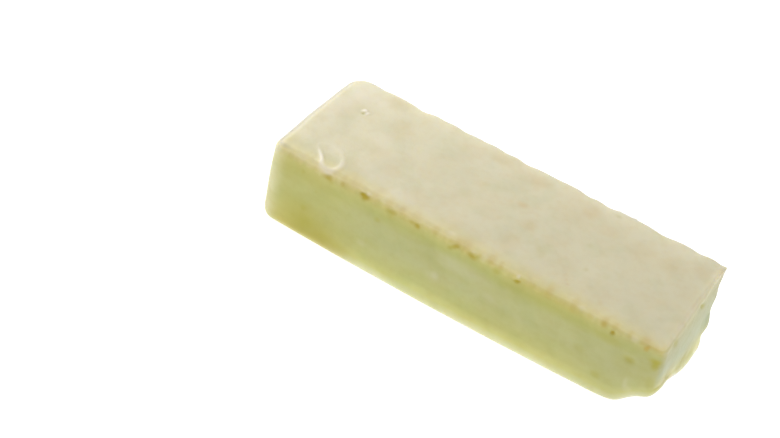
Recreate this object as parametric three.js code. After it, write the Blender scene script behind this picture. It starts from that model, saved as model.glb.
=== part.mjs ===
// A bar of filled confectionery dipped in a thin pale coating and set on a flat belt.
//
// X runs along the bar, Y across it and Z up, in millimetres. The bar rests on Z = 0.
// It is one closed solid. A segmented box is the blank, and each of its points is carried to the
// coated form in steps: rounded edges, leaning walls with a foot, rounded corners, off-square ends,
// the chipped underside of one corner, and last the ripples and dents of the coating.
import * as THREE from "three";
import { mergeVertices } from "three/addons/utils/BufferGeometryUtils.js";

// Driving dimensions of the top face and the height.
const LENGTH = 88;
const WIDTH = 30.5;
const HEIGHT = 18.7;
const HALF_LENGTH = LENGTH / 2;
const HALF_WIDTH = WIDTH / 2;

// The walls lean out towards the base, the ends evenly and the long sides most at mid-length.
// They end in a foot, where the coating pooled as it set.
const END_FLARE = { left: 0.5, right: 0.65 };
const SIDE_FLARE = { left: 0.5, right: -0.7 };
const SIDE_BOW = 1.2;
const FLARE_POWER = 1.3;
const FOOT_HEIGHT = 2.6;
const FOOT_PROUD = { side: 0.12, leftEnd: 0.12, rightEnd: 0.35 };

// Rounding of the edge round the top face, softer at the -X end, and of the edge round the base.
const TOP_ROUND = { left: 1.9, right: 1.5 };
const BASE_ROUND = 0.85;

// Rounding of the four upright corners, at the top face and at the base. A power above 1 keeps
// the corner sharp further down: the far corner at +X ends in a pointed tip of coating.
const CORNER_ROUND = {
  leftNear: { top: 2.4, base: 3.8, power: 1 },
  leftFar: { top: 3.9, base: 5.4, power: 1 },
  rightNear: { top: 1.6, base: 1.8, power: 1 },
  rightFar: { top: 0.5, base: 6.6, power: 1.6 },
};

// Each end is a little off square, by a turn about Z.
const END_SKEW = { left: THREE.MathUtils.degToRad(-1.45), right: THREE.MathUtils.degToRad(2.85) };

// Under the near corner at +X the base is chipped away beyond a slanting line, which starts at
// CHIP_START on the near side. A droplet of coating hangs at the corner itself.
const CHIP_START = 37.3;
const CHIP_TURN = THREE.MathUtils.degToRad(22.3);
const CHIP_SLOPE = 1.46;
const CHIP_SOFTNESS = 0.88;
const DROPLET = { x: HALF_LENGTH + 0.6, y: -HALF_WIDTH - 0.2, radius: 2.8, drop: 3.0 };

// Slow ripples of the coating: height, and wavelengths along each axis.
const TOP_CROWN = 0.2;
const RIPPLES = [
  { height: 0.08, along: 27, across: 37, phase: 0.4 },
  { height: 0.06, along: 13, across: 19, phase: 2.1 },
  { height: 0.04, along: 7.1, across: 9.5, phase: 4.4 },
];
const RIPPLE_CLEAR_OF_BASE = 2.2;

// Dents in the shoulder of each long side: [place along X, radius, depth].
const SHOULDER_DROP = 0.9;
const NEAR_DENTS = [
  [-30.4, 1.3, 0.45],
  [-27.2, 1.2, 0.3],
  [-22.0, 1.5, 0.7],
  [-15.6, 1.5, 0.4],
  [-9.6, 1.3, 0.5],
  [-2.1, 1.6, 0.5],
  [3.0, 1.5, 0.5],
  [8.3, 1.5, 0.35],
  [12.9, 1.3, 0.5],
  [17.9, 1.4, 0.3],
  [31.7, 1.4, 0.35],
  [41.0, 1.5, 0.4],
];
const FAR_DENTS = [
  [-36.6, 1.3, 0.25],
  [-26.8, 1.7, 0.5],
  [-21.7, 1.1, 0.2],
  [-16.7, 1.4, 0.35],
  [-11.7, 1.1, 0.2],
  [-6.8, 1.5, 0.25],
  [-1.8, 1.7, 0.4],
  [4.8, 2.4, 0.15],
  [12.7, 1.5, 0.4],
  [17.6, 1.8, 0.45],
  [30.3, 2.5, 0.35],
  [37.4, 1.4, 0.3],
  [41.6, 1.4, 0.3],
];
// Dents near the top of the +X end: [place along Y, radius, depth].
const END_DENT_DROP = 3.1;
const END_DENTS = [
  [4.1, 1.1, 0.45],
  [-7.5, 1.2, 0.35],
];
// Waves down the far corner at +X, with a bump as a negative depth: [height, radius, depth].
// The topmost bump is the pointed tip.
const CORNER_WAVES = [
  [17.4, 1.0, -0.4],
  [13.0, 2.0, 0.25],
  [9.6, 1.2, 0.2],
  [6.3, 2.3, -0.65],
];

// A burst bubble left an oval ring on the top face, and a drip left a pimple beside it.
const RING = { x: -32.6, y: -11.7, long: 3.7, short: 2.05, width: 0.8, height: 0.2 };
const RING_TURN = THREE.MathUtils.degToRad(-65);
const PIMPLE = { x: -35.1, y: 5.0, radius: 0.9, height: 0.35 };

// Segments of the blank. Tightening 0 spaces them evenly, and 1 crowds them at the edges.
const GRID = { x: 80, y: 22, z: 12 };
const TIGHTEN = { x: 0.25, y: 0.7, z: 0.7 };
const MERGE_TOLERANCE = 1e-4;

/** A smooth step from 0 at `from` to 1 at `to`. */
function ease(from, to, value) {
  return THREE.MathUtils.smoothstep(value, from, to);
}

/** Moves a coordinate in -1..1 towards the ends of that range, so grid lines crowd the edges. */
function crowd(u, tightening) {
  return (1 - tightening) * u + tightening * Math.sin((u * Math.PI) / 2);
}

/** Rounds a square edge: takes and returns the distances in from its two faces. */
function roundEdge(inset, depth, radius) {
  if (inset >= radius || depth >= radius) return [inset, depth];
  const a = radius - inset;
  const b = radius - depth;
  const scale = Math.max(a, b) / Math.hypot(a, b);
  return [radius - a * scale, radius - b * scale];
}

/** How far a wall stands out from the top face's outline at height z, for its flare and foot. */
function wallOffset(z, flare, foot) {
  const down = THREE.MathUtils.clamp(1 - z / HEIGHT, 0, 1);
  return flare * down ** FLARE_POWER + foot * (1 - ease(0.35 * FOOT_HEIGHT, 1.25 * FOOT_HEIGHT, z));
}

/** The radius of the upright corner on the given side of the bar, at height z. */
function cornerRadius(isRight, isFar, z) {
  const { top, base, power } = CORNER_ROUND[(isRight ? "right" : "left") + (isFar ? "Far" : "Near")];
  return THREE.MathUtils.lerp(top, base, (1 - z / HEIGHT) ** power);
}

/** How far the base is lifted at (x, y) by the chip under the near corner at +X. */
function chipLift(x, y) {
  const side = HALF_WIDTH + SIDE_FLARE.left;
  const beyond = (x - CHIP_START) * Math.cos(CHIP_TURN) - (y + side) * Math.sin(CHIP_TURN);
  const softened = (beyond + Math.hypot(beyond, CHIP_SOFTNESS)) / 2;
  const lift = CHIP_SLOPE * softened * ease(-3 * CHIP_SOFTNESS, 0, beyond);
  const droplet = DROPLET.drop * bell(Math.hypot(x - DROPLET.x, y - DROPLET.y), DROPLET.radius);
  return Math.max(lift - droplet, 0);
}

/** Carries a point of the square blank, with z from 0 to HEIGHT, to the smooth coated form. */
function coatedPoint(blank) {
  const share = blank.x / LENGTH + 0.5;
  const onCap = blank.z <= 0 || blank.z >= HEIGHT;
  const square = Math.min(HALF_LENGTH - Math.abs(blank.x), HALF_WIDTH - Math.abs(blank.y));
  const inset = onCap ? Math.max(square, 0) : 0;
  const isTop = blank.z > HEIGHT / 2;
  const depth = isTop ? HEIGHT - blank.z : blank.z;
  const round = isTop ? THREE.MathUtils.lerp(TOP_ROUND.left, TOP_ROUND.right, share) : BASE_ROUND;
  const [newInset, newDepth] = roundEdge(inset, depth, round);
  const z = isTop ? HEIGHT - newDepth : newDepth;

  const isRight = blank.x > 0;
  const endFlare = isRight ? END_FLARE.right : END_FLARE.left;
  const endFoot = isRight ? FOOT_PROUD.rightEnd : FOOT_PROUD.leftEnd;
  const sideFlare = THREE.MathUtils.lerp(SIDE_FLARE.left, SIDE_FLARE.right, share);
  const bow = SIDE_BOW * (1 - (blank.x / HALF_LENGTH) ** 2) * (1 - z / HEIGHT);
  const growX = 1 + wallOffset(z, endFlare, endFoot) / HALF_LENGTH;
  const growY = 1 + (wallOffset(z, sideFlare, FOOT_PROUD.side) + bow) / HALF_WIDTH;
  const ringX = (HALF_LENGTH - newInset) * growX;
  const ringY = (HALF_WIDTH - newInset) * growY;
  const shrink = (half) => (newInset === inset ? 1 : (half - newInset) / (half - inset));
  let x = blank.x * growX * shrink(HALF_LENGTH);
  let y = blank.y * growY * shrink(HALF_WIDTH);

  const radius = cornerRadius(isRight, blank.y > 0, z) - newInset;
  const cornerX = Math.abs(x) - (ringX - radius);
  const cornerY = Math.abs(y) - (ringY - radius);
  if (radius > 0 && cornerX > 0 && cornerY > 0) {
    const scale = Math.max(cornerX, cornerY) / Math.hypot(cornerX, cornerY);
    x = Math.sign(x) * (ringX - radius + cornerX * scale);
    y = Math.sign(y) * (ringY - radius + cornerY * scale);
  }

  x -= y * Math.tan(THREE.MathUtils.lerp(END_SKEW.left, END_SKEW.right, share));
  return new THREE.Vector3(x, y, z + chipLift(x, y) * (1 - z / HEIGHT));
}

/** A rounded hollow or bump: 1 at its middle, and 0 beyond about twice its radius. */
function bell(distance, radius) {
  return Math.exp(-((distance / radius) ** 2));
}

/** The dents of the coating, each with its centre on the smooth form, its radius and its depth. */
function coatingDents() {
  const shoulder = HEIGHT - SHOULDER_DROP;
  const formed = (x, y, z) => coatedPoint(new THREE.Vector3(x, y, z));
  const dents = (rows, centreOf) =>
    rows.map(([place, radius, depth]) => ({ centre: centreOf(place), radius, depth }));
  return [
    ...dents(NEAR_DENTS, (x) => formed(x, -HALF_WIDTH, shoulder).setX(x)),
    ...dents(FAR_DENTS, (x) => formed(x, HALF_WIDTH, shoulder).setX(x)),
    ...dents(END_DENTS, (y) => formed(HALF_LENGTH, y, HEIGHT - END_DENT_DROP)),
    ...dents(CORNER_WAVES, (z) => formed(HALF_LENGTH, HALF_WIDTH, z)),
  ];
}
const DENTS = coatingDents();

/** How far the ring's ridge and the pimple stand up at (x, y) on the top face. */
function topMarks(x, y) {
  const along = (x - RING.x) * Math.cos(RING_TURN) + (y - RING.y) * Math.sin(RING_TURN);
  const across = (y - RING.y) * Math.cos(RING_TURN) - (x - RING.x) * Math.sin(RING_TURN);
  const fromRidge = (Math.hypot(along / RING.long, across / RING.short) - 1) * RING.short;
  const pimple = PIMPLE.height * bell(Math.hypot(x - PIMPLE.x, y - PIMPLE.y), PIMPLE.radius);
  return RING.height * bell(fromRidge, RING.width) + pimple;
}

/** How far the coating stands out from the smooth form at point p of it. */
function relief(p) {
  const turns = 2 * Math.PI;
  const crown = TOP_CROWN * (1 - (p.y / HALF_WIDTH) ** 2) * (1 - (p.x / HALF_LENGTH) ** 4);
  let out = (crown + topMarks(p.x, p.y)) * ease(HEIGHT - 1, HEIGHT - 0.2, p.z);
  for (const { height, along, across, phase } of RIPPLES) {
    const sway = 1.3 * Math.sin((turns * (p.y + p.z)) / across);
    out += height * Math.sin((turns * p.x) / along + phase + sway);
  }
  for (const { centre, radius, depth } of DENTS) {
    out -= depth * bell(p.distanceTo(centre), radius);
  }
  return out * ease(BASE_ROUND, RIPPLE_CLEAR_OF_BASE, p.z - chipLift(p.x, p.y));
}

/** The segmented box that the bar is formed from, standing on Z = 0, with shared corners merged. */
function blankGeometry() {
  const box = new THREE.BoxGeometry(2, 2, 2, GRID.x, GRID.y, GRID.z);
  box.deleteAttribute("normal");
  box.deleteAttribute("uv");
  const position = box.getAttribute("position");
  for (let i = 0; i < position.count; i++) {
    position.setXYZ(
      i,
      HALF_LENGTH * crowd(position.getX(i), TIGHTEN.x),
      HALF_WIDTH * crowd(position.getY(i), TIGHTEN.y),
      (HEIGHT / 2) * (1 + crowd(position.getZ(i), TIGHTEN.z)),
    );
  }
  return mergeVertices(box, MERGE_TOLERANCE);
}

/**
 * Splits each square of the formed box along its shorter diagonal, which keeps slivers out of the
 * rounded corners. The box lists a square's corners as a, b, d, b, c, d.
 */
function splitAlongShorterDiagonals(geometry) {
  const index = geometry.getIndex();
  const position = geometry.getAttribute("position");
  const at = (vertex) => new THREE.Vector3().fromBufferAttribute(position, vertex);
  for (let i = 0; i < index.count; i += 6) {
    const [a, b, d, c] = [0, 1, 2, 4].map((k) => index.getX(i + k));
    if (at(a).distanceTo(at(c)) < at(b).distanceTo(at(d))) {
      [a, b, c, a, c, d].forEach((vertex, k) => index.setX(i + k, vertex));
    }
  }
}

/** The coated bar as one closed geometry, centred over the origin. */
function barGeometry() {
  const geometry = blankGeometry();
  const position = geometry.getAttribute("position");
  const point = new THREE.Vector3();
  for (let i = 0; i < position.count; i++) {
    const formed = coatedPoint(point.fromBufferAttribute(position, i));
    position.setXYZ(i, formed.x, formed.y, formed.z);
  }
  splitAlongShorterDiagonals(geometry);
  geometry.computeVertexNormals();
  const normal = geometry.getAttribute("normal");
  const outward = new THREE.Vector3();
  for (let i = 0; i < position.count; i++) {
    point.fromBufferAttribute(position, i);
    outward.fromBufferAttribute(normal, i);
    point.addScaledVector(outward, relief(point));
    position.setXYZ(i, point.x, point.y, Math.max(point.z, 0));
  }
  geometry.computeBoundingBox();
  const centre = geometry.boundingBox.getCenter(new THREE.Vector3());
  return geometry.translate(-centre.x, -centre.y, 0);
}

const coating = new THREE.MeshStandardMaterial({ color: 0xd8d1b4, roughness: 0.45, metalness: 0 });
const bar = new THREE.Mesh(barGeometry(), coating);
bar.name = "coated_bar";

const group = new THREE.Group();
group.add(bar);

export default group;
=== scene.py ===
"""Dresses a white-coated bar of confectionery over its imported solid, on a plain pale floor.

Sizes in the classes are in millimetres. X runs along the bar, Y across it and Z up, and the bar
rests on Z = 0. A finished piece is in metres.
"""

import logging
import math
from collections.abc import Iterator, Sequence
from dataclasses import dataclass, field
from enum import Enum
from functools import partial

import bpy
import numpy as np
from bpy.types import ID, Material, Mesh, Node, NodeSocket, NodeTree, Object
from mathutils import Matrix, Vector

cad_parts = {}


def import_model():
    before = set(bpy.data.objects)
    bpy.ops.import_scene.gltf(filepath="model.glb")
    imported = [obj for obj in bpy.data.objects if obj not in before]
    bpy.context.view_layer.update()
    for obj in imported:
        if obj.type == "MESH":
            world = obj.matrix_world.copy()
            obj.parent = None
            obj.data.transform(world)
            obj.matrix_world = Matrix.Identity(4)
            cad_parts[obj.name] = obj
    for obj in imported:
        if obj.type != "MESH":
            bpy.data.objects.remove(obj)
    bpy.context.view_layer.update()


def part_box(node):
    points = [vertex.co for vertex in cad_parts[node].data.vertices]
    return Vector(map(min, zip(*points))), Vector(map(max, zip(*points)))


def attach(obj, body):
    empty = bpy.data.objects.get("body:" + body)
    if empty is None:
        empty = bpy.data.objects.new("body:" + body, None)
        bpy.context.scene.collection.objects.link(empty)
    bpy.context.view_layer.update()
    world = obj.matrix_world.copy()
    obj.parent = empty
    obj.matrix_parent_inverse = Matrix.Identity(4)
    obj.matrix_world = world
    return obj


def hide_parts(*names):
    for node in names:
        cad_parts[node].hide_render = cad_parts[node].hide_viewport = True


LOG = logging.getLogger("coated_bar")
MM = 0.001
TURN = 2 * math.pi
# Heights no further apart than this count as the same, and nothing is divided by less.
TINY = 1e-9
# The corners of a square, anticlockwise.
SQUARE = np.array(((0, 0), (1, 0), (1, 1), (0, 1)))
MATH = "ShaderNodeMath"
VECTOR_MATH = "ShaderNodeVectorMath"
# What each mark carries, and its kind.
MARK_KINDS = {"size": "FLOAT_VECTOR", "depth": "FLOAT", "tint": "FLOAT_VECTOR"}
Pair = tuple[float, float]
Triple = tuple[float, float, float]
Rows = tuple[tuple[float, ...], ...]
# Places up a wall and on over the top face, with the colour there.
Bands = tuple[tuple[float, str], ...]


def linear(colour: str) -> tuple[float, float, float, float]:
    """Turns an sRGB hex colour to linear light.

    Args:
        colour: The colour as "#rrggbb".

    Returns:
        Red, green, blue and an alpha of 1.
    """
    shares = [int(colour[i : i + 2], 16) / 255 for i in (1, 3, 5)]
    light = [s / 12.92 if s <= 0.04045 else ((s + 0.055) / 1.055) ** 2.4 for s in shares]
    return (*light, 1.0)


def add_node(
    tree: NodeTree,
    kind: str,
    inputs: dict[str | int, object] | tuple[object, ...] = (),
    operation: str = "",
    stops: Sequence[tuple[float, str]] = (),
    **settings: object,
) -> Node:
    """Adds a node with its settings, links and values.

    Args:
        tree: The tree that takes the node.
        kind: The node's Blender type.
        inputs: What the inputs get, in order or by name or number: a socket or node to link, or
            a value.
        operation: What a node for sums does.
        stops: On a colour ramp, the place and sRGB colour of each stop.
        **settings: Properties of the node itself.

    Returns:
        The new node.
    """
    node = tree.nodes.new(kind)
    if operation:
        node.operation = operation
    for name, value in settings.items():
        setattr(node, name, value)
    for key, value in inputs.items() if isinstance(inputs, dict) else enumerate(inputs):
        if isinstance(value, Node):
            value = value.outputs[0]
        if isinstance(value, NodeSocket):
            tree.links.new(value, node.inputs[key])
        else:
            node.inputs[key].default_value = value
    for i, (place, colour) in enumerate(stops):
        ramp = node.color_ramp.elements
        stop = ramp[i] if i < len(ramp) else ramp.new(place)
        stop.position = place
        stop.color = linear(colour)
    return node


def empty_material(name: str) -> Material:
    """Makes a material with nothing in its tree.

    Args:
        name: The material's name.

    Returns:
        The new material.
    """
    material = bpy.data.materials.new(name)
    material.use_nodes = True
    material.node_tree.nodes.clear()
    return material


def linked_object(name: str, data: ID) -> Object:
    """Puts a mesh, light or camera into the scene.

    Args:
        name: The object's name.
        data: What it shows or holds.

    Returns:
        The new object.
    """
    thing = bpy.data.objects.new(name, data)
    bpy.context.scene.collection.objects.link(thing)
    return thing


def ease(start: float, end: float, value: np.ndarray) -> np.ndarray:
    """A smooth step from 0 at `start` to 1 at `end`."""
    share = np.clip((value - start) / (end - start), 0, 1)
    return share * share * (3 - 2 * share)


def between(pair: Pair, share: np.ndarray | float) -> np.ndarray | float:
    """The value a share of the way from the pair's first to its second."""
    return pair[0] + (pair[1] - pair[0]) * share


def rounding(a: np.ndarray, b: np.ndarray) -> np.ndarray:
    """How far a round corner draws in each point of a square one, as a share of where it was.

    Args:
        a: How far each point lies beyond the round's centre, in one direction.
        b: The same, square to it.

    Returns:
        The share for both, which is 1 where a point isn't beyond the centre in both.
    """
    drawn = np.maximum(a, b) / np.maximum(np.hypot(a, b), TINY)
    return np.where((a > 0) & (b > 0), drawn, 1.0)


def box_lattice(counts: tuple[int, int, int]) -> tuple[np.ndarray, np.ndarray]:
    """Covers a box with squares whose corners are shared.

    Args:
        counts: How many squares lie along each axis.

    Returns:
        The corners as whole steps along each axis, and four corner numbers for each square,
        listed so that it faces outwards.
    """
    squares = []
    for axis in range(3):
        u, v = (axis + 1) % 3, (axis + 2) % 3
        steps_u, steps_v = np.meshgrid(range(counts[u]), range(counts[v]), indexing="ij")
        for side, ring in ((0, SQUARE[:, ::-1]), (counts[axis], SQUARE)):
            square = np.full((steps_u.size, 4, 3), side)
            square[:, :, u] = steps_u.reshape(-1, 1) + ring[:, 0]
            square[:, :, v] = steps_v.reshape(-1, 1) + ring[:, 1]
            squares.append(square)
    every_corner = np.concatenate(squares).reshape(-1, 3)
    corners, numbers = np.unique(every_corner, axis=0, return_inverse=True)
    return corners, numbers.reshape(-1, 4)


@dataclass(frozen=True)
class UprightCorner:
    """Plan radius of an upright corner at the top face and at the base.

    A power above 1 keeps the corner sharp further down.
    """

    top: float
    base: float
    power: float = 1.0

    def radius(self, down: np.ndarray) -> np.ndarray:
        """The radius at a share `down` of the way from the top face to the base."""
        return between((self.top, self.base), down**self.power)


@dataclass(frozen=True)
class Chip:
    """The base broken away under one corner beyond a slanting line, with a droplet left on it."""

    start: float = 37.55
    line_y: float = -15.75
    turn: float = math.radians(22.3)
    slope: float = 1.5
    softness: float = 1.15
    # The lift fades in over this length before the line.
    fade: float = 5.75
    droplet: Pair = (44.6, -15.45)
    droplet_radius: float = 2.8
    droplet_drop: float = 3.0

    def lift(self, x: np.ndarray, y: np.ndarray) -> np.ndarray:
        """Works out how far the base is lifted.

        Args:
            x: Places along the bar.
            y: The same places across it.

        Returns:
            The lift at each place.
        """
        beyond = (x - self.start) * math.cos(self.turn) - (y - self.line_y) * math.sin(self.turn)
        softened = (beyond + np.hypot(beyond, self.softness)) / 2
        lift = self.slope * softened * ease(-self.fade, 0, beyond)
        away = np.hypot(x - self.droplet[0], y - self.droplet[1]) / self.droplet_radius
        return np.maximum(lift - self.droplet_drop * np.exp(-(away**2)), 0)


@dataclass(frozen=True)
class BarForm:
    """The smooth form of the coated bar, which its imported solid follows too.

    A pair holds the value at the -X end and the one at the +X end, unless a comment says more.
    """

    length: float = 88.0
    width: float = 30.5
    height: float = 18.7
    end_flare: Pair = (0.5, 0.65)
    side_flare: Pair = (0.5, -0.7)
    side_bow: float = 1.2
    flare_power: float = 1.3
    # The foot thins out between these heights.
    foot_fade: Pair = (0.91, 3.25)
    foot_of_side: float = 0.12
    foot_of_end: Pair = (0.12, 0.35)
    top_round: Pair = (1.9, 1.5)
    # The top edge sharpens towards the far corner at +X, down to this share of its rounding, from
    # this share of the half length on.
    crisp_corner: float = 0.3
    crisp_from: float = 0.75
    base_round: float = 0.85
    left_near: UprightCorner = UprightCorner(2.4, 3.8)
    left_far: UprightCorner = UprightCorner(3.9, 5.4)
    right_near: UprightCorner = UprightCorner(1.6, 1.8)
    right_far: UprightCorner = UprightCorner(0.5, 6.6, 1.6)
    end_skew: Pair = (math.radians(-1.45), math.radians(2.85))
    # The far top corner at +X is drawn out a little: its place, its reach and its pull.
    point: Triple = (43.3, 15.1, 18.4)
    point_reach: float = 2.1
    point_pull: Triple = (0.4, 0.0, -0.22)
    # The crown of the top face sets in this far below it, and is full at the second.
    crown_fade: Pair = (1.0, 0.2)
    # The relief is full from this height on.
    firm_from: float = 2.2
    chip: Chip = Chip()
    squares: tuple[int, int, int] = (256, 90, 56)
    # How much closer the squares lie towards the edges, along each axis.
    tighten: Triple = (0.15, 0.3, 0.3)

    def wall_offset(self, z: np.ndarray, flare: np.ndarray, foot: np.ndarray) -> np.ndarray:
        """How far a wall stands out from the top face's outline at height z."""
        down = np.clip(1 - z / self.height, 0, 1)
        return flare * down**self.flare_power + foot * (1 - ease(*self.foot_fade, z))

    def corner_radius(self, x: np.ndarray, y: np.ndarray, z: np.ndarray) -> np.ndarray:
        """Gives each point the plan radius of the upright corner nearest to it.

        Args:
            x: The points' places along the bar.
            y: Their places across it.
            z: Their heights.

        Returns:
            The radius at each point.
        """
        down = np.clip(1 - z / self.height, 0, 1)
        right = np.where(y > 0, self.right_far.radius(down), self.right_near.radius(down))
        left = np.where(y > 0, self.left_far.radius(down), self.left_near.radius(down))
        return np.where(x > 0, right, left)

    def coated(self, blank: np.ndarray) -> np.ndarray:
        """Carries points of the square blank to the coated form.

        Args:
            blank: Points on the box of the length, width and height, standing on Z = 0.

        Returns:
            The same points on the coated form.
        """
        half, height = np.array([self.length, self.width]) / 2, self.height
        plan, z = blank[:, :2], blank[:, 2]
        along, across = (plan / half).T
        share = (along + 1) / 2
        is_top, is_right = z > height / 2, along > 0
        on_cap = (z <= TINY) | (z >= height - TINY)
        inset = np.where(on_cap, (half - abs(plan)).min(1).clip(0), 0)
        depth = np.where(is_top, height - z, z)
        crisp = ease(self.crisp_from, 1, along) * ease(0, 1, across)
        top_round = between(self.top_round, share) * (1 - (1 - self.crisp_corner) * crisp)
        round_edge = np.where(is_top, top_round, self.base_round)
        a, b = round_edge - inset, round_edge - depth
        drawn = rounding(a, b)
        new_inset, new_depth = round_edge - a * drawn, round_edge - b * drawn
        z = np.where(is_top, height - new_depth, new_depth)

        flare = np.where(is_right, self.end_flare[1], self.end_flare[0])
        foot = np.where(is_right, self.foot_of_end[1], self.foot_of_end[0])
        end = self.wall_offset(z, flare, foot)
        side = self.wall_offset(z, between(self.side_flare, share), self.foot_of_side)
        side += self.side_bow * (1 - along**2) * (1 - z / height)
        ring = (half - new_inset[:, None]) * (1 + np.stack([end, side], axis=1) / half)
        plan = plan * ring / np.maximum(half - inset[:, None], TINY)

        radius = (self.corner_radius(*plan.T, z) - new_inset)[:, None]
        centre = ring - radius
        over = abs(plan) - centre
        drawn = np.where(radius > 0, rounding(*over.T)[:, None], 1.0)
        x, y = (np.sign(plan) * (centre + over * drawn)).T

        x = x - y * np.tan(between(self.end_skew, share))
        points = np.stack([x, y, z + self.chip.lift(x, y) * (1 - z / height)], axis=1)
        away = np.linalg.norm(points - np.array(self.point), axis=1) / self.point_reach
        return points + np.exp(-(away[:, None] ** 2)) * np.array(self.point_pull)

    def seat(self, x: float, y: float, z: float) -> Vector:
        """Where a point of the blank lies on the coated form."""
        return Vector(self.coated(np.array([[x, y, z]]))[0])

    def build(self) -> Mesh:
        """Builds the smooth form, with what the relief and the finish read as attributes.

        Returns:
            A mesh with "rise", the way up a wall and on over the top, "swell", where the top face
            is crowned, and "firm", which is 0 on the flat base.
        """
        corners, squares = box_lattice(self.squares)
        shares = 2 * corners / np.array(self.squares) - 1
        tighten = np.array(self.tighten)
        shares = (1 - tighten) * shares + tighten * np.sin(shares * math.pi / 2)
        blank = shares * np.array([self.length, self.width, self.height]) / 2
        blank[:, 2] += self.height / 2
        points = self.coated(blank)

        x, y, z = points.T
        inset = np.minimum(self.length / 2 - abs(blank[:, 0]), self.width / 2 - abs(blank[:, 1]))
        over = np.where(blank[:, 2] >= self.height - TINY, inset, 0)
        under = np.where(blank[:, 2] <= TINY, inset, 0)
        crown = (1 - (2 * y / self.width) ** 2) * (1 - (2 * x / self.length) ** 4)
        start, full = (self.height - below for below in self.crown_fade)
        attributes = {
            "rise": blank[:, 2] + over - under,
            "swell": crown * ease(start, full, z),
            "firm": ease(self.base_round, self.firm_from, z - self.chip.lift(x, y)),
        }
        mesh = bpy.data.meshes.new("smooth_form")
        mesh.from_pydata(points.tolist(), [], squares.tolist())
        for name, values in attributes.items():
            attribute = mesh.attributes.new(name, "FLOAT", "POINT")
            attribute.data.foreach_set("value", values.astype(np.float32))
        return mesh


class Stain(Enum):
    """What tints the coating at a mark. The value is its place in the "tint" attribute."""

    OLIVE = 0
    AMBER = 1
    # Pale places of the coating, and painted highlights where lips, ridges and the pimple catch
    # the light.
    PALE_AND_HIGHLIGHT = 2


# A stain, and a row for each mark that it tints: its place along and up the face, its half
# length and half height there, how strong the tint is and, where it has one, its depth.
StainRows = tuple[Stain, Rows]


@dataclass(frozen=True)
class Mark:
    """A dent, bump or stain, centred on the smooth form.

    Attributes:
        place: Its centre.
        size: Its radius along each axis.
        stain: What tints it.
        strength: How strong the tint is, from 0 to 1.
        depth: How deep it is, or how high where this is negative.
    """

    place: Vector
    size: Triple
    stain: Stain
    strength: float
    depth: float = 0.0

    @property
    def tint(self) -> tuple[float, ...]:
        """The strength in the stain's place of three."""
        return tuple(self.strength if stain is self.stain else 0.0 for stain in Stain)


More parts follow.
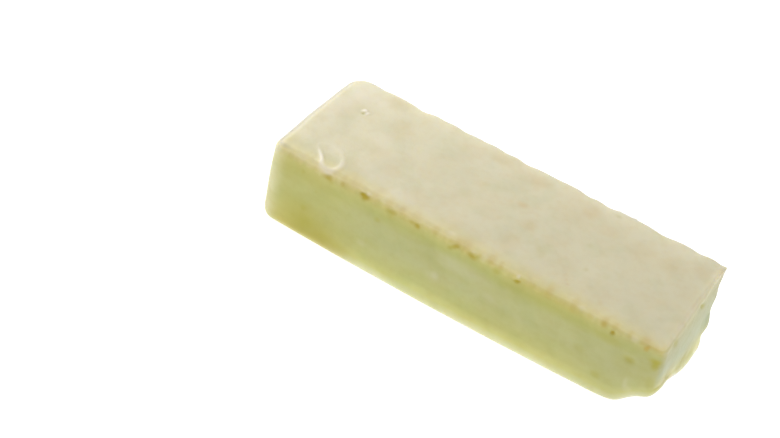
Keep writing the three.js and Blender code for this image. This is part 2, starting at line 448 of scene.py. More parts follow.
@dataclass(frozen=True)
class ChanceMarks:
    """Every mark that dipping, draining and handling left on this bar's coating, with a few
    painted highlights and painted shadows among them.

    A wall's rows go on over the edge: there, up is the way up the wall and on over the top face.
    """

    form: BarForm
    # Hollows that make up the dents under the near top edge: x, up, half length, half height,
    # depth, olive, amber.
    near_dents: Rows = (
        (-30.4, 17.5, 0.8, 0.65, 0.12, 0.6, 0.2), (-31.3, 17.5, 0.7, 0.5, 0.05, 0.27, 0.1),
        (-29.6, 16.8, 0.6, 0.5, 0.05, 0.25, 0.05), (-27.3, 17.7, 0.5, 0.5, 0.08, 0.27, 0.18),
        (-22, 17.6, 1, 0.7, 0.14, 1, 0.3), (-22.9, 17.9, 0.5, 0.35, 0.08, 0.54, 0.15),
        (-22.1, 16.8, 0.5, 0.45, 0.08, 0.41, 0), (-15.6, 17.4, 0.95, 0.5, 0.08, 0.47, 0.12),
        (-16.7, 17.2, 0.6, 0.6, 0.05, 0.27, 0), (-15.9, 16.5, 0.6, 0.8, 0, 0.2, 0),
        (-9.9, 17.3, 0.6, 0.55, 0.12, 0.8, 0.25), (-11.1, 17.5, 0.9, 0.35, 0.08, 0.41, 0.12),
        (-1, 17.6, 0.6, 0.4, 0.08, 0.6, 0.16), (-1.6, 17.1, 0.55, 0.45, 0.08, 0.58, 0.12),
        (-2.3, 16.5, 0.55, 0.45, 0.08, 0.54, 0), (2.3, 17.4, 1, 0.45, 0.12, 0.54, 0.18),
        (2.7, 16.9, 0.8, 0.45, 0.08, 0.41, 0.1), (3.5, 17.6, 0.3, 0.35, 0, 0.41, 0),
        (7.9, 16.9, 0.9, 0.75, 0.06, 0.41, 0), (12.4, 16.9, 0.55, 0.4, 0.18, 1, 0.2),
        (12.9, 17.2, 0.35, 0.25, 0.1, 0.54, 0.25), (11.8, 16.8, 0.5, 0.3, 0, 0.27, 0),
        (31.1, 17.7, 0.6, 0.7, 0.06, 0.27, 0.15), (33.1, 16.9, 0.45, 0.55, 0.45, 1, 0.35),
        (40.1, 16.9, 0.5, 0.6, 0.06, 0.25, 0.4), (40.5, 17.7, 0.4, 0.5, 0.06, 0.2, 0.25),
    )
    near_side: tuple[StainRows, ...] = (
        # Light that the dents' upper lips catch.
        (Stain.PALE_AND_HIGHLIGHT, (
            (12.5, 18.3, 0.3, 0.45, 0.5, -0.08), (-21.8, 18.7, 0.4, 0.35, 0.35, -0.08),
            (26.2, 19, 0.6, 0.6, 0.2), (37.7, 18.2, 0.9, 0.7, 0.2), (-3.2, 20, 0.9, 0.5, 0.2),
            (2.3, 18.4, 0.5, 0.3, 0.2), (4.8, 18.6, 0.5, 1, 0.15), (-43.6, 18.2, 1, 1.4, 0.3),
            (-37.6, 19.6, 1.4, 0.5, 0.15),
        )),
        # Thin places of the wall.
        (Stain.OLIVE, (
            # The first three, low towards -X, are thin places and partly painted shade from a
            # second bar that lay against the base there.
            (-35.2, 4.6, 3.6, 4.2, 0.34), (-31.5, 3.4, 4.2, 2.6, 0.36),
            (-26.5, 2.2, 4.5, 1.6, 0.3), (-30, 12.5, 3.5, 2.6, 0.08), (-36.5, 15.4, 5, 1.6, 0.12),
            (22, 15.6, 14, 1.6, 0.16), (32.5, 15, 2.5, 1.1, 0.25), (20, 17.6, 9, 1, 0.08),
            (37, 11, 3.2, 3, 0.18), (-34.3, 7.2, 0.8, 0.8, 0.25, 0.06),
            (-36, 15.8, 0.5, 0.6, 0.25, 0.05), (-32.3, 12.6, 0.4, 0.4, 0.15, 0.05),
            (-18.3, 13.9, 0.7, 0.6, 0.42, 0.06), (37.6, 12.2, 1.2, 1, 0.4, 0.28),
            (42.6, 14, 1.7, 0.8, 0.4), (42.7, 13.1, 1.3, 1.2, 0.42, 0.16),
            (42.5, 11.8, 0.8, 1, 0.35), (42.3, 6.3, 0.8, 1.6, 0.25), (41, 9.5, 1.6, 3, 0.15),
            (32, 5, 1, 0.9, 0.35, 0.08), (27.8, 9.3, 1.3, 1, 0.2, 0.05),
        )),
        (Stain.AMBER, ((20, 17.4, 9, 0.9, 0.07),)),
        # Thick, pale places of the wall.
        (Stain.PALE_AND_HIGHLIGHT, (
            (-3.9, 8.3, 0.8, 0.9, 0.1), (-4.2, 7.4, 1.6, 1.6, 0.05), (1, 13.4, 6, 2, 0.1),
            (8, 10, 1.3, 1, 0.06), (-20.5, 6.5, 1.1, 0.8, 0.08), (37.9, 5.6, 0.5, 1.3, 0.1),
            (38.4, 3.6, 0.9, 1, 0.1),
        )),
    )
    # Tongues where the cream runs thin over the near edge: x, up, half length, half height,
    # strength.
    tongues: Rows = (
        (-27.5, 19.5, 0.6, 1.2, 0.4), (-25.8, 20, 1.8, 2, 0.5), (-20, 20, 1.2, 2.2, 0.5),
        (-17, 19.6, 0.8, 1.4, 0.5), (-14, 19.4, 0.6, 1.4, 0.5), (-10.8, 19.6, 1.2, 1.4, 0.3),
        (-6.3, 18.7, 0.8, 1.1, 0.6), (-1.2, 18.9, 0.6, 1, 0.6), (0.4, 19.4, 1.4, 1.6, 0.65),
        (6.3, 18.9, 0.9, 1.3, 0.75), (8.5, 18.9, 0.5, 1, 0.75), (14.7, 19.2, 0.5, 1, 0.3),
        (19, 19.5, 0.9, 1.8, 0.7), (24.6, 18.9, 0.8, 1.8, 0.7), (28.2, 19, 0.6, 1.2, 0.3),
        (31.3, 18.9, 0.7, 1.2, 0.75), (33.4, 19, 0.6, 1, 0.6), (36.6, 19, 0.6, 1, 0.6),
        (39.6, 19, 1, 1.2, 0.6), (41.8, 18.5, 1.3, 0.8, 0.7),
    )
    # How much a tongue shows of each stain, as a share of its strength.
    tongue_tints: tuple[tuple[Stain, float], ...] = ((Stain.OLIVE, 0.12), (Stain.AMBER, 0.2))
    end_face: tuple[StainRows, ...] = (
        # Two streaks that ran down from the top edge.
        (Stain.OLIVE, (
            (2.8, 17, 0.5, 0.45, 0.3, 0.15), (3.5, 16.4, 0.6, 0.55, 0.8, 0.25),
            (4.4, 15.6, 0.65, 0.6, 0.85, 0.25), (5.3, 14.8, 0.6, 0.6, 0.6, 0.12),
            (6.2, 13.9, 0.6, 0.6, 0.3), (-10.9, 17.4, 0.9, 0.8, 0.2, 0.08),
            (-10, 16.4, 1, 0.9, 0.4, 0.15), (-9.1, 15.2, 1, 1, 0.4, 0.12),
            (-8.2, 14, 0.9, 0.9, 0.26, 0.05),
        )),
        # Thin, thick and brownish places.
        (Stain.OLIVE, (
            (-2.8, 16.6, 1.3, 0.9, 0.1), (-1.4, 15.2, 1.5, 1.1, 0.12), (-2.6, 3.1, 3.4, 1.3, 0.36),
            (0.8, 3.8, 2.4, 1.4, 0.46), (4.5, 2.8, 3, 1.2, 0.32), (8.2, 3.6, 2, 1.2, 0.12),
            (-9.8, 3.9, 2.4, 1.3, 0.24),
        )),
        (Stain.PALE_AND_HIGHLIGHT, ((-13.2, 1.4, 1.4, 1, 0.3),)),
        (Stain.AMBER, (
            (12.6, 15.2, 1.4, 2.4, 0.12), (12.4, 18.6, 1.6, 1.4, 0.1),
        )),
    )
    top_face: tuple[StainRows, ...] = (
        # Brownish places.
        (Stain.AMBER, (
            (-31.5, 12, 2.8, 1.6, 0.1), (-26.5, 5.5, 2.2, 4.5, 0.09), (-26, -3.5, 2.5, 1.5, 0.06),
            (-21.5, -6.5, 2.2, 2.2, 0.1), (-15.5, -2.5, 2.5, 1.5, 0.045),
            (-13.5, -9, 2.5, 2, 0.06), (-12.5, 10, 3, 2.2, 0.075), (-6.5, 11.8, 2.6, 1.6, 0.15),
            (-6.3, 2.4, 1.6, 1.4, 0.09), (-3.8, -11, 1.8, 2.5, 0.1), (3, 11.2, 2.8, 1.8, 0.15),
            (3.6, 2.5, 1.2, 1, 0.22), (6.6, -8.6, 2, 3, 0.12), (7.6, -1.7, 1.5, 2, 0.14),
            (15.7, 10, 2.2, 2, 0.14), (20.5, 7.5, 2, 1.6, 0.075), (28.5, 6.5, 2.6, 3, 0.1),
            (35.5, 7.5, 2.5, 3, 0.09), (40.5, 9.5, 2, 2, 0.09), (42.5, -6.5, 1.3, 2, 0.075),
            (28.3, -11.6, 0.6, 0.7, 0.12), (39.5, -14, 1.2, 1, 0.12),
        )),
        # A short scratch.
        (Stain.AMBER, (
            (19.5, -9.3, 0.35, 0.7, 0.12, 0.05), (20.2, -10.4, 0.35, 0.6, 0.1, 0.05),
            (21, -11.3, 0.45, 0.4, 0.18, 0.05),
        )),
        # Faint greenish spots.
        (Stain.OLIVE, (
            (-7.2, -2, 1.3, 1.6, 0.1), (7.6, -1.7, 1, 1.3, 0.08), (13, -6.8, 1.2, 2.2, 0.14),
            (19.6, 1.2, 0.6, 0.6, 0.12), (22, -5.4, 0.5, 0.6, 0.18), (26.2, -4.6, 0.7, 0.9, 0.1),
            (20.4, 12.7, 0.7, 0.5, 0.25),
        )),
        # Thicker, pale places.
        (Stain.PALE_AND_HIGHLIGHT, (
            (-27.5, -0.5, 3, 2.5, 0.12), (-24, -9.5, 3, 2, 0.1), (-16, -11.5, 3, 1.5, 0.12),
            (-6.8, 8.5, 3, 2, 0.08), (-38, 10.5, 4, 3.5, 0.2), (-40.5, 4, 2.4, 5, 0.16),
        )),
        # A small pimple with a painted highlight on its tip, and a hollow at its foot with a
        # painted shadow.
        (Stain.PALE_AND_HIGHLIGHT, (
            (-35.6, 5.6, 0.4, 0.4, 0.8, -0.35), (-34.8, 5.3, 0.35, 0.4, 0.6, -0.2),
        )),
        # Painted shadow of the pimple, in the hollow at its foot.
        (Stain.OLIVE, ((-35.5, 4.7, 0.45, 0.35, 0.5, 0.12),)),
    )
    # How far above and below the top face its marks reach.
    top_reach: float = 3.0
    # Dents in the far edge of the top face: x, radius, depth. They lie this far up the wall.
    far_dents: tuple[Triple, ...] = (
        (-36.6, 1.3, 0.25), (-26.8, 1.7, 0.5), (-21.7, 1.1, 0.2), (-16.7, 1.4, 0.35),
        (-11.7, 1.1, 0.2), (-6.8, 1.5, 0.25), (-1.8, 1.7, 0.4), (4.8, 2.4, 0.15), (12.7, 1.5, 0.4),
        (17.6, 1.8, 0.45), (30.3, 2.5, 0.35), (38.3, 1.7, 0.5), (40.3, 1.2, 0.22),
        (42.5, 1.8, 0.55),
    )
    far_dents_up: float = 17.8
    # Crumbs that stuck to the far edge: x, up, radius, depth.
    crumbs: tuple[tuple[float, float, float, float], ...] = (
        (19.9, 18.2, 0.4, -0.18), (23.5, 18.6, 0.35, -0.2),
    )
    crumb_tint: float = 0.8
    # Waves down the far corner at +X, and fuller places of the far edge and of the -X end:
    # x, y, z, radius, depth.
    waves: Rows = (
        (43.4, 14.2, 13.6, 1.5, 0.14), (43.6, 13.4, 11.5, 1.5, -0.12),
        (43.8, 12.6, 8.6, 1.1, 0.05), (43.6, 12.2, 6.8, 1.2, -0.16), (44, 11.2, 5.4, 1.8, -0.6),
        (-33, 15, 18, 6, -0.24), (-20, 15, 18, 6, -0.2), (-6, 15, 18, 6, -0.29),
        (7, 15, 18, 5, -0.19), (21, 15, 18, 5, -0.22), (32, 15, 18, 4, -0.09),
        (-44.4, -14, 7, 5, -0.3), (-44.2, -15, 12.5, 3.5, -0.15), (-43.9, -3, 18, 7, -0.32),
    )
    # The rim of a burst bubble, all the way round: x, up, how high it stands, half width.
    bubble_rim: tuple[tuple[float, float, float, float], ...] = (
        (-37, 24.3, 0.1, 0.25), (-36.2, 23.6, 0.4, 0.26), (-35.3, 22.8, 0.95, 0.3),
        (-34.5, 22, 1, 0.34), (-33.8, 21.2, 0.8, 0.38), (-33.4, 20.3, 0.34, 0.6),
        (-32.8, 19.5, 0.32, 0.7), (-31.8, 19.1, 0.36, 0.7), (-30.6, 19.4, 0.38, 0.65),
        (-29.9, 20.4, 0.34, 0.6), (-29.7, 21.7, 0.34, 0.6), (-30, 23, 0.28, 0.55),
        (-30.7, 24.2, 0.2, 0.45), (-31.8, 25.2, 0.14, 0.45), (-33, 25.8, 0.07, 0.45),
        (-34.4, 26, 0.07, 0.45), (-35.8, 25.8, 0.09, 0.4), (-36.6, 25.1, 0.1, 0.35),
    )
    rim_height: float = 0.11
    # The rim's pale tint follows how high it stands; it is partly its own colour and partly
    # painted highlight.
    rim_tint: float = 0.42
    # How far above and below the top face the rim's bumps reach, and how many lie in a step.
    rim_reach: float = 1.5
    rim_bumps_per_step: int = 3

    def on_side(self, x: float, up: float) -> Vector:
        """A place on the near side, which goes on over the top edge."""
        over = max(up - self.form.height, 0)
        return self.form.seat(x, over - self.form.width / 2, min(up, self.form.height))

    def on_end(self, y: float, up: float) -> Vector:
        """A place on the +X end."""
        return self.form.seat(self.form.length / 2, y, up)

    def on_top(self, x: float, y: float) -> Vector:
        """A place on the top face."""
        return self.form.seat(x, y, self.form.height)

    def near_edge(self) -> Iterator[Mark]:
        """Yields the dents under the near top edge, and the thin cream over it."""
        for x, up, length, height, depth, olive, amber in self.near_dents:
            place, size = self.on_side(x, up), (length, height, height)
            yield Mark(place, size, Stain.OLIVE, olive, depth)
            yield Mark(place, size, Stain.AMBER, amber)
        for x, up, length, height, strength in self.tongues:
            place, size = self.on_side(x, up), (length, height, height)
            for stain, share in self.tongue_tints:
                yield Mark(place, size, stain, share * strength)

    def faces(self) -> Iterator[Mark]:
        """Yields the marks of the near side, the +X end and the top face."""
        # The last column says which half size lies along X, Y and Z.
        for face, seat, order in (
            (self.near_side, self.on_side, (0, 1, 1)),
            (self.end_face, self.on_end, (1, 0, 1)),
            (self.top_face, self.on_top, (0, 1, 2)),
        ):
            for stain, rows in face:
                for along, up, length, height, strength, *depth in rows:
                    halves = (length, height, self.top_reach)
                    size = tuple(halves[i] for i in order)
                    yield Mark(seat(along, up), size, stain, strength, *depth)

    def far_side(self) -> Iterator[Mark]:
        """Yields the marks of the far edge, the far corner and the -X end."""
        far = self.form.width / 2
        for x, radius, depth in self.far_dents:
            place = self.form.seat(x, far, self.far_dents_up)
            yield Mark(place, (radius,) * 3, Stain.PALE_AND_HIGHLIGHT, 0.0, depth)
        for x, up, radius, depth in self.crumbs:
            place = self.form.seat(x, far, up)
            yield Mark(place, (radius,) * 3, Stain.PALE_AND_HIGHLIGHT, self.crumb_tint, depth)
        for *place, radius, depth in self.waves:
            yield Mark(Vector(place), (radius,) * 3, Stain.PALE_AND_HIGHLIGHT, 0.0, depth)

    def rim(self) -> Iterator[Mark]:
        """Yields small bumps in a row, which run together as the rim of the burst bubble."""
        steps = [step / self.rim_bumps_per_step for step in range(self.rim_bumps_per_step)]
        for start, end in zip(self.bubble_rim, (*self.bubble_rim[1:], self.bubble_rim[0])):
            for step in steps:
                x, up, share, width = (between(pair, step) for pair in zip(start, end))
                place, size = self.on_side(x, up), (width, width, self.rim_reach)
                tint, depth = self.rim_tint * share, -self.rim_height * share
                yield Mark(place, size, Stain.PALE_AND_HIGHLIGHT, tint, depth)

    def points(self) -> Object:
        """Turns every mark to a point.

        Returns:
            An object with one vertex for each mark, and its size, depth and tint as attributes.
        """
        marks = [*self.near_edge(), *self.faces(), *self.far_side(), *self.rim()]
        mesh = bpy.data.meshes.new("marks")
        mesh.from_pydata([mark.place for mark in marks], [], [])
        for name, kind in MARK_KINDS.items():
            values = np.array([getattr(mark, name) for mark in marks], np.float32)
            member = "value" if kind == "FLOAT" else "vector"
            mesh.attributes.new(name, kind, "POINT").data.foreach_set(member, values.ravel())
        return linked_object("marks", mesh)


@dataclass(frozen=True)
class Ripple:
    """A slow wave of the coating: its height, its lengths along and across the bar, its phase."""

    height: float
    along: float
    across: float
    phase: float


@dataclass
class CoatingRelief:
    """The node tree that lays marks, ripples and grain on the smooth form."""

    crown: float = 0.2
    ripples: tuple[Ripple, ...] = (
        Ripple(0.06, 27, 37, 0.4),
        Ripple(0.035, 13, 19, 2.1),
        Ripple(0.02, 7.1, 9.5, 4.4),
    )
    ripple_sway: float = 1.3
    # Grain is the fine unevenness of a coating that set while it drained.
    grain_height: float = 0.05
    grain_size: float = 1.7
    seed: float = 4.0
    # How fast a mark falls off: its tint has a flatter middle and a quicker end than its dent.
    dent_power: float = 1.0
    tint_power: float = 1.6
    # Nothing goes below the floor. Sideways, this lets everything by.
    lowest: Triple = (-1000.0, -1000.0, 0.0)

    def tree(self) -> NodeTree:
        """Builds the tree.

        Returns:
            A tree that takes the smooth form in millimetres and gives the coating in metres.
        """
        tree = bpy.data.node_groups.new("coating_relief", "GeometryNodeTree")
        node = partial(add_node, tree)
        sockets = {"Form": "Geometry", "Marks": "Object", "Coating": "Material"}
        sockets |= dict.fromkeys(("Crown", "Grain Height", "Grain Size", "Seed"), "Float")
        for name, kind in sockets.items():
            tree.interface.new_socket(name, in_out="INPUT", socket_type="NodeSocket" + kind)
        tree.interface.new_socket("Coat", in_out="OUTPUT", socket_type="NodeSocketGeometry")
        sizes = node("NodeGroupInput").outputs

        normal = node("GeometryNodeInputNormal")
        faced = node(
            "GeometryNodeStoreNamedAttribute",
            {"Geometry": sizes["Form"], "Name": "facing", "Value": normal},
            data_type="FLOAT_VECTOR",
        )
        marked = self.lay_marks(tree, faced, sizes["Marks"])
        height = self.height_field(tree, sizes)
        offset = node(VECTOR_MATH, {0: normal, "Scale": height}, "SCALE")
        place = node("GeometryNodeInputPosition")
        above_floor = node(VECTOR_MATH, (place, self.lowest), "MAXIMUM")
        steps = (
            ("SetPosition", {"Offset": offset}),
            ("SetPosition", {"Position": above_floor}),
            ("Transform", {"Scale": (MM, MM, MM)}),
            ("SetShadeSmooth", {}),
            ("RealizeInstances", {}),
            ("SetMaterial", {"Material": sizes["Coating"]}),
        )
        coat = marked
        for kind, inputs in steps:
            coat = node("GeometryNode" + kind, {"Geometry": coat, **inputs})
        node("NodeGroupOutput", {"Coat": coat})
        return tree

    def lay_marks(self, tree: NodeTree, form: Node, marks: NodeSocket) -> Node:
        """Adds the part that goes through the marks one by one.

        Args:
            tree: The relief's tree.
            form: The node that gives the form.
            marks: The socket that gives the object with a vertex for each mark.

        Returns:
            The node that gives the form with the marks' "depth" and "tint" summed on it.
        """
        node = partial(add_node, tree)
        info = node("GeometryNodeObjectInfo", {"Object": marks}).outputs["Geometry"]
        count = node("GeometryNodeAttributeDomainSize", {"Geometry": info})
        first = tree.nodes.new("GeometryNodeRepeatInput")
        last = tree.nodes.new("GeometryNodeRepeatOutput")
        first.pair_with_output(last)
        tree.links.new(count.outputs["Point Count"], first.inputs["Iterations"])
        tree.links.new(form.outputs[0], first.inputs["Geometry"])

        place = node("GeometryNodeInputPosition")
        stored = {
            name: node("GeometryNodeInputNamedAttribute", {"Name": name}, data_type=kind)
            for name, kind in MARK_KINDS.items()
        }
        mark = {
            name: node(
                "GeometryNodeSampleIndex",
                {"Geometry": info, "Value": value, "Index": first.outputs["Iteration"]},
                data_type=MARK_KINDS.get(name, "FLOAT_VECTOR"),
            )
            for name, value in {"place": place, **stored}.items()
        }
        away = node(VECTOR_MATH, (place, mark["place"]), "SUBTRACT")
        away = node(VECTOR_MATH, (away, mark["size"]), "DIVIDE")
        away = node(VECTOR_MATH, (away, away), "DOT_PRODUCT")
        geometry = first.outputs["Geometry"]
        for name, power, kind in (
            ("depth", self.dent_power, MATH),
            ("tint", self.tint_power, VECTOR_MATH),
        ):
            bell = node(MATH, (away.outputs["Value"], power), "POWER")
            bell = node(MATH, (bell, -1.0), "MULTIPLY")
            bell = node(MATH, (bell,), "EXPONENT")
            total = node(kind, (mark[name], bell, stored[name]), "MULTIPLY_ADD")
            geometry = node(
                "GeometryNodeStoreNamedAttribute",
                {"Geometry": geometry, "Name": name, "Value": total},
                data_type=MARK_KINDS[name],
            ).outputs[0]
        tree.links.new(geometry, last.inputs["Geometry"])
        return last

    def height_field(self, tree: NodeTree, sizes: bpy.types.bpy_prop_collection) -> Node:
        """Adds the part that says how far each point stands out from the smooth form.

        Args:
            tree: The relief's tree.
            sizes: The tree's inputs.

        Returns:
            The node that gives the offset along the normal.
        """
        node = partial(add_node, tree)
        place = node("GeometryNodeInputPosition")
        at = node("ShaderNodeSeparateXYZ", (place,)).outputs
        girth = node(MATH, (at["Y"], at["Z"]), "ADD")
        scale = node(MATH, (1.0, sizes["Grain Size"]), "DIVIDE")
        grain = node(
            "ShaderNodeTexNoise",
            {"Vector": place, "W": sizes["Seed"], "Scale": scale, "Detail": 2.0},
            noise_dimensions="4D",
        )
        height = node(MATH, (grain, 0.5), "SUBTRACT")
        height = node(MATH, (height, sizes["Grain Height"]), "MULTIPLY")
        for ripple in self.ripples:
            sway = node(MATH, (girth, TURN / ripple.across), "MULTIPLY")
            wave = node(MATH, (sway,), "SINE")
            inputs = (wave, self.ripple_sway, ripple.phase)
            phase = node(MATH, inputs, "MULTIPLY_ADD")
            inputs = (at["X"], TURN / ripple.along, phase)
            phase = node(MATH, inputs, "MULTIPLY_ADD")
            wave = node(MATH, (phase,), "SINE")
            height = node(MATH, (wave, ripple.height, height), "MULTIPLY_ADD")
        swell, depth, firm = (
            node("GeometryNodeInputNamedAttribute", {"Name": name})
            for name in ("swell", "depth", "firm")
        )
        height = node(MATH, (swell, sizes["Crown"], height), "MULTIPLY_ADD")
        height = node(MATH, (height, depth), "SUBTRACT")
        return node(MATH, (height, firm), "MULTIPLY")

    def applied(self, form: Mesh, marks: Object, finish: Material) -> Mesh:
        """Runs the tree on the form.

        Args:
            form: The smooth form, in millimetres.
            marks: The object with a vertex for each mark.
            finish: The coating's material.

        Returns:
            The coating as a plain mesh, in metres.
        """
        carrier = linked_object("coating_carrier", form)
        modifier = carrier.modifiers.new("relief", "NODES")
        modifier.node_group = self.tree()
        values = {"Marks": marks, "Coating": finish, "Crown": self.crown, "Seed": self.seed}
        values |= {"Grain Height": self.grain_height, "Grain Size": self.grain_size}
        for item in modifier.node_group.interface.items_tree:
            if item.name in values:
                modifier[item.identifier] = values[item.name]
        depsgraph = bpy.context.evaluated_depsgraph_get()
        result = bpy.data.meshes.new_from_object(
            carrier.evaluated_get(depsgraph), preserve_all_data_layers=True, depsgraph=depsgraph
        )
        carrier.modifiers.remove(modifier)
        for helper in (carrier, marks):
            bpy.data.objects.remove(helper)
        return result


@dataclass(frozen=True)
class Cloud:
    """Soft clouds in the coating: their lengths along, across and up, their tint and its share."""

    lengths: Triple
    tint: str
    share: float
    on_walls: bool = False


@dataclass(frozen=True)
class WhiteChocolateCoating:
    """White chocolate compound, poured over a green filling and drained on a belt.

    Cocoa butter and milk solids give a cream colour and a waxy, slightly see-through skin. The
    skin is thick on the top face, where it looks cream, and thin on the walls, where the filling
    tints it green. It is yellow where it gathers above the foot and pale at the foot's thin lip:
    partly its own colour, as no filling lies behind it there, and partly painted glow of the
    floor's light shining through the thin foot.
    """

    name: str = "enrobed_white_chocolate"
    # Colours by the way up a wall and on over the top face, in mm. Their pale, yellow foot is
    # partly painted glow of the floor's light through the thin coating.
    wall: Bands = (
        (0, "#f1f0dc"), (1.2, "#e6e7b8"), (2.5, "#d9d88c"), (4.4, "#c5c57c"), (9, "#bfbf84"),
        (13.2, "#bdbd7e"), (15.4, "#babb6d"), (17, "#c6c173"), (18, "#dbd28f"), (18.9, "#e5dca8"),
        (20.2, "#dad1a5"), (22.5, "#d8d0ae"),
    )
    # The coating is thinnest towards the -X end of the near side, and the filling shows most.
    thin_wall: Bands = (
        (0, "#ebe6c0"), (1.4, "#d0c874"), (4.2, "#c4c06e"), (8, "#bebc6e"), (12, "#c0bf76"),
        (15.4, "#c0be6f"), (17, "#c6c174"), (18, "#dbd294"), (18.9, "#e6dda9"), (20.2, "#d7ce9c"),
        (22.5, "#cdc7a0"),
    )
    # The +X end's colours. The light stops at 18 and 18.9 paint a highlight along its rounded top
    # edge.
    end: Bands = (
        (0, "#f4f3e6"), (2.2, "#ebe8aa"), (4.6, "#caca99"), (7.5, "#bcc199"), (12, "#b8b98c"),
        (15.4, "#b7b580"), (17, "#c1bd8a"), (18, "#d8d2ad"), (18.9, "#e8e1c5"), (20.4, "#dad4b4"),
        (22.5, "#d7d0b1"),
    )
    # The -X end, which faces the window, is painted paler on its walls and upright corners:
    # painted light. Light glowing through the far edge is painted on too.
    corner: str = "#d9d6a4"
    far_edge: str = "#eee7cc"
    # The near side is a little duller towards +X, and the rim of the top face at -X and behind.
    dull_wall: str = "#a5a47c"
    dull_rim: str = "#b4b1a5"
    ramp_length: float = 24.0
    # Where each colour shows: the mask's name, what it goes by, where it starts, where it is full
    # and how strong it is there. X and Y are places, "rise" is the way up a wall and on over the
    # top, "over" is that and Y together, and "facing" is how squarely a place faces +X.
    masks: tuple[tuple[str, str, float, float, float], ...] = (
        # The border wanders most round the shoulder, and the foot keeps to its line.
        ("wander", "rise", 6.0, 16.0, 1.0),
        ("thin", "X", -17.0, -33.0, 1.0),
        # Painted light on the walls of the -X end, which face the window.
        ("corner", "X", -40.0, -43.5, 0.85),
        ("wall", "rise", 19.5, 17.5, 1.0),
        # Only the near shoulder is worn thin: elsewhere the cream comes right over the edge,
        # and on the +X cap it comes further towards the near side.
        ("cap", "X", 39.0, 43.0, 2.5),
        ("shoulder", "rise", 15.5, 17.5, 1.0),
        ("end", "facing", 0.4, 0.95, 1.0),
        ("far", "Y", 5.0, 15.0, 0.35),
        ("tip", "X", 42.0, 34.0, 1.0),
        ("dull", "X", 22.0, 38.0, 0.22),
        ("back_rim", "Y", 11.0, 14.5, 0.42),
        ("left_rim", "X", -39.5, -43.0, 0.75),
        ("rim", "rise", 20.8, 19.0, 1.0),
        ("near_rim", "over", 4.0, 6.5, 1.0),
    )
    # From the first Y to the second, inwards, the cream comes to cover the shoulder.
    spared: Pair = (-12.5, -8.0)
    # How far the border of the cream wanders in fine drips and in slow waves, and their length
    # along the bar. Across and up it they run on, at this share of the pace.
    drips: Pair = (0.6, 1.3)
    waves: Pair = (0.6, 6.0)
    pace: float = 0.25
    olive: str = "#ada41c"
    amber: str = "#c6982f"
    # The pale places, and the painted highlights on lips, ridges and the pimple.
    pale: str = "#f3ebe2"
    clouds: tuple[Cloud, ...] = (
        Cloud((7.0, 7.0, 7.0), "#fbf1e2", 0.28),
        Cloud((4.2, 4.2, 4.2), "#eef4ea", 0.35),
        Cloud((1.6, 1.6, 1.6), "#f8efe0", 0.25),
        Cloud((9.0, 4.0, 3.4), "#f1f1d2", 0.38, on_walls=True),
    )
    # The noise at which a cloud starts and is full, and the heights where a wall's cloud does.
    cloud_levels: Pair = (0.42, 0.7)
    wall_levels: Pair = (17.0, 14.0)
    # The steps between the clouds' patterns.
    cloud_step: float = 40.0
    # The skin's fine unevenness, and the noise at which it is smoothest and roughest.
    skin_size: float = 0.9
    skin_height: float = 0.03
    skin_levels: Pair = (0.3, 0.7)
    roughness: Pair = (0.36, 0.48)
    ior: float = 1.46
    see_through: float = 0.5
    see_through_depth: float = 2.2
    # How far red, green and blue light go in it, as shares of the depth.
    see_through_shares: Triple = (1.0, 0.85, 0.45)

    def material(self) -> Material:
        """Builds the material.

        Returns:
            The coating's material.
        """
        material = empty_material(self.name)
        tree = material.node_tree
        node = partial(add_node, tree)
        place = node("ShaderNodeTexCoord").outputs["Object"]
        place = node(VECTOR_MATH, {0: place, "Scale": 1 / MM}, "SCALE")
        colour = self.banded(tree, place)
        colour = self.mottled(tree, place, colour)
        colour = self.stained(tree, colour)
        size = 1 / self.skin_size
        skin = node("ShaderNodeTexNoise", {"Vector": place, "Scale": size, "Detail": 3.0})
        height = self.skin_height * MM
        bump = node("ShaderNodeBump", {"Distance": height, "Height": skin})
        gloss = node("ShaderNodeMapRange", (skin, *self.skin_levels, *self.roughness))
        shader = node(
            "ShaderNodeBsdfPrincipled",
            {
                "Base Color": colour,
                "Roughness": gloss,
                "IOR": self.ior,
                "Subsurface Weight": self.see_through,
                "Subsurface Radius": self.see_through_shares,
                "Subsurface Scale": self.see_through_depth * MM,
                "Normal": bump,
            },
        )
        node("ShaderNodeOutputMaterial", {"Surface": shader})
        return material

    def banded(self, tree: NodeTree, place: Node) -> NodeSocket:
        """Adds the colours up the walls and over the top, with an uneven border between them.

        Args:
            tree: The material's tree.
            place: The node that gives the place on the bar.

        Returns:
            The colour's socket.
        """
        node = partial(add_node, tree)
        rise = node("ShaderNodeAttribute", attribute_name="rise").outputs["Fac"]
        facing = node("ShaderNodeAttribute", attribute_name="facing").outputs["Vector"]
        facing = node("ShaderNodeSeparateXYZ", (facing,)).outputs["X"]
        at = node("ShaderNodeSeparateXYZ", (place,)).outputs
        over = node(MATH, (rise, at["Y"]), "ADD")
        measures = {"rise": rise, "X": at["X"], "Y": at["Y"], "over": over, "facing": facing}
        mask = {
            name: node(
                "ShaderNodeMapRange",
                (measures[measure], start, full, 0.0, most),
                interpolation_type="SMOOTHSTEP",
            )
            for name, measure, start, full, most in self.masks
        }
        inland = node(MATH, (at["Y"], mask["cap"]), "ADD")
        mask["spared"] = node(
            "ShaderNodeMapRange", (inland, *self.spared), interpolation_type="SMOOTHSTEP"
        )
        # The rim is dull at either edge, and the +X end's colours come over the spared shoulder.
        mask["dull_rim"] = node(MATH, (mask["back_rim"], mask["left_rim"]), "MAXIMUM")
        for name, limits in (
            ("dull", ("wall",)),
            ("corner", ("wall",)),
            ("spared", ("shoulder",)),
            ("far", ("shoulder", "tip")),
            ("dull_rim", ("rim", "shoulder", "near_rim")),
        ):
            for limit in limits:
                mask[name] = node(MATH, (mask[name], mask[limit]), "MULTIPLY")
        mask["end"] = node(MATH, (mask["end"], mask["spared"]), "MAXIMUM")

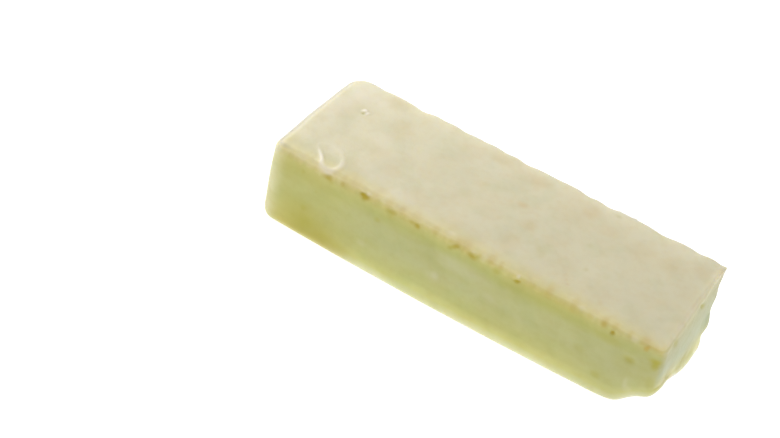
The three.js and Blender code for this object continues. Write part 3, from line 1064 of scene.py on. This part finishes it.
        border = rise
        for reach, size in (self.drips, self.waves):
            stretch = (1 / size, self.pace / size, self.pace / size)
            wave = node(VECTOR_MATH, (place, stretch), "MULTIPLY")
            wave = node("ShaderNodeTexNoise", {"Vector": wave, "Scale": 1.0, "Detail": 1.0})
            wave = node(MATH, (wave, 0.5), "SUBTRACT")
            wave = node(MATH, (wave, 2 * reach), "MULTIPLY")
            border = node(MATH, (wave, mask["wander"], border), "MULTIPLY_ADD")
        bands = []
        for up, colours in ((border, self.wall), (border, self.thin_wall), (rise, self.end)):
            share = node(MATH, (up, self.ramp_length), "DIVIDE")
            stops = [(mm / self.ramp_length, colour) for mm, colour in colours]
            bands.append(node("ShaderNodeValToRGB", (share,), stops=stops))
        wall, thin_wall, end = bands
        colour = wall.outputs[0]
        for name, shade in (
            ("thin", thin_wall),
            ("dull", linear(self.dull_wall)),
            ("corner", linear(self.corner)),
            ("end", end),
            ("far", linear(self.far_edge)),
            ("dull_rim", linear(self.dull_rim)),
        ):
            inputs = {0: mask[name], 6: colour, 7: shade}
            colour = node("ShaderNodeMix", inputs, data_type="RGBA").outputs[2]
        return colour

    def mottled(self, tree: NodeTree, place: Node, colour: NodeSocket) -> NodeSocket:
        """Adds soft clouds and fine flecks, and longer clouds where the wall drained.

        Args:
            tree: The material's tree.
            place: The node that gives the place on the bar.
            colour: The socket of the colour under them.

        Returns:
            The colour's socket.
        """
        node = partial(add_node, tree)
        height = node("ShaderNodeSeparateXYZ", (place,)).outputs["Z"]
        is_wall = node(
            "ShaderNodeMapRange", (height, *self.wall_levels), interpolation_type="SMOOTHSTEP"
        )
        for number, cloud in enumerate(self.clouds):
            spot = node(VECTOR_MATH, (place, cloud.lengths), "DIVIDE")
            noise = node(
                "ShaderNodeTexNoise",
                {"Vector": spot, "W": self.cloud_step * number, "Scale": 1.0, "Detail": 2.0},
                noise_dimensions="4D",
            )
            amount = node(
                "ShaderNodeMapRange",
                (noise, *self.cloud_levels, 0.0, cloud.share),
                interpolation_type="SMOOTHSTEP",
            )
            if cloud.on_walls:
                amount = node(MATH, (amount, is_wall), "MULTIPLY")
            inputs = {0: amount, 6: colour, 7: linear(cloud.tint)}
            colour = node(
                "ShaderNodeMix", inputs, data_type="RGBA", blend_type="MULTIPLY"
            ).outputs[2]
        return colour

    def stained(self, tree: NodeTree, colour: NodeSocket) -> NodeSocket:
        """Adds the tint of the dents, thin patches and pale ridges, with the painted highlights
        and painted shadows that some marks carry.

        Args:
            tree: The material's tree.
            colour: The socket of the colour under them.

        Returns:
            The colour's socket.
        """
        tint = add_node(tree, "ShaderNodeAttribute", attribute_name="tint").outputs["Vector"]
        tint = add_node(tree, "ShaderNodeSeparateXYZ", (tint,)).outputs
        stains = {Stain.OLIVE: self.olive, Stain.AMBER: self.amber, Stain.PALE_AND_HIGHLIGHT: self.pale}
        for stain, shade in stains.items():
            inputs = {0: tint[stain.value], 6: colour, 7: linear(shade)}
            colour = add_node(tree, "ShaderNodeMix", inputs, data_type="RGBA").outputs[2]
        return colour


@dataclass
class CoatedBar:
    """The whole bar: one piece, because the coating closes over its filling."""

    name: str = "white_coating"
    form: BarForm = field(default_factory=BarForm)
    relief: CoatingRelief = field(default_factory=CoatingRelief)
    finish: WhiteChocolateCoating = field(default_factory=WhiteChocolateCoating)

    def build(self) -> Object:
        """Builds the bar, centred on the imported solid, and dresses it.

        Returns:
            The finished piece.
        """
        marks = ChanceMarks(self.form)
        smooth = self.form.build()
        points = np.empty(len(smooth.vertices) * 3, np.float32)
        smooth.vertices.foreach_get("co", points)
        points = points.reshape(-1, 3) * MM
        low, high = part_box("coated_bar")
        shift = (low + high) / 2 - Vector((points.min(0) + points.max(0)) / 2)
        mesh = self.relief.applied(smooth, marks.points(), self.finish.material())
        mesh.transform(Matrix.Translation((shift.x, shift.y, 0)))
        bar = linked_object(self.name, mesh)
        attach(bar, "root")
        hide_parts("coated_bar")
        moved = (shift.x / MM, shift.y / MM)
        LOG.info("%s: %d faces, moved %.3f, %.3f mm", bar.name, len(mesh.polygons), *moved)
        return bar


@dataclass
class Studio:
    """A light table: a glowing pale floor, even white light all round and a window behind."""

    camera_place: Triple = (115.661, -307.593, 300.213)
    camera_turn: Triple = (47.8045, -8.7202, 32.1058)
    camera_nearest: float = 10.0
    sensor: float = 36.0
    lens: float = 101.54
    white: str = "#ffffff"
    floor_side: float = 3000.0
    floor_drop: float = 0.05
    floor_colour: str = "#bfbfbf"
    floor_roughness: float = 0.7
    floor_glow: float = 0.75
    sky: float = 0.7
    window_place: Triple = (-225.0, 135.0, 190.0)
    window_side: float = 160.0
    window_power: float = 0.55

    def build(self) -> None:
        """Builds the floor, the light and the camera."""
        self.build_floor()
        self.build_light()
        self.build_camera()

    def build_floor(self) -> None:
        """A flat pale floor that glows a little, as a light table does."""
        corners = [((x - 0.5) * self.floor_side, (y - 0.5) * self.floor_side) for x, y in SQUARE]
        mesh = bpy.data.meshes.new("floor")
        mesh.from_pydata([Vector((*at, -self.floor_drop)) * MM for at in corners], [], [range(4)])
        material = empty_material("lit_white_acrylic")
        shader = add_node(
            material.node_tree,
            "ShaderNodeBsdfPrincipled",
            {
                "Base Color": linear(self.floor_colour),
                "Roughness": self.floor_roughness,
                "Emission Color": linear(self.white),
                "Emission Strength": self.floor_glow,
            },
        )
        add_node(material.node_tree, "ShaderNodeOutputMaterial", {"Surface": shader})
        mesh.materials.append(material)
        linked_object("floor", mesh)

    def build_light(self) -> None:
        """Even white light all round, and a soft window behind the -X end."""
        world = bpy.data.worlds.new("white_room")
        world.use_nodes = True
        world.node_tree.nodes.clear()
        sky = {"Color": linear(self.white), "Strength": self.sky}
        background = add_node(world.node_tree, "ShaderNodeBackground", sky)
        add_node(world.node_tree, "ShaderNodeOutputWorld", {"Surface": background})
        bpy.context.scene.world = world
        light = bpy.data.lights.new("window", "AREA")
        light.size = self.window_side * MM
        light.energy = self.window_power
        window = linked_object("window", light)
        window.location = Vector(self.window_place) * MM
        window.visible_camera = False
        window.rotation_euler = (-window.location).to_track_quat("-Z", "Y").to_euler()
        bpy.context.scene.view_settings.view_transform = "Standard"

    def build_camera(self) -> None:
        """A long lens that looks down on the near side from the right."""
        camera = bpy.data.cameras.new("camera")
        camera.sensor_width = self.sensor
        camera.lens = self.lens
        camera.clip_start = self.camera_nearest * MM
        holder = linked_object("camera", camera)
        holder.location = Vector(self.camera_place) * MM
        holder.rotation_euler = [math.radians(turn) for turn in self.camera_turn]
        bpy.context.scene.camera = holder


def main() -> None:
    """Builds the studio and the bar, and reports the bar."""
    logging.basicConfig(level=logging.INFO, format="%(message)s")
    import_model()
    Studio().build()
    CoatedBar().build()


if __name__ == "__main__":
    main()
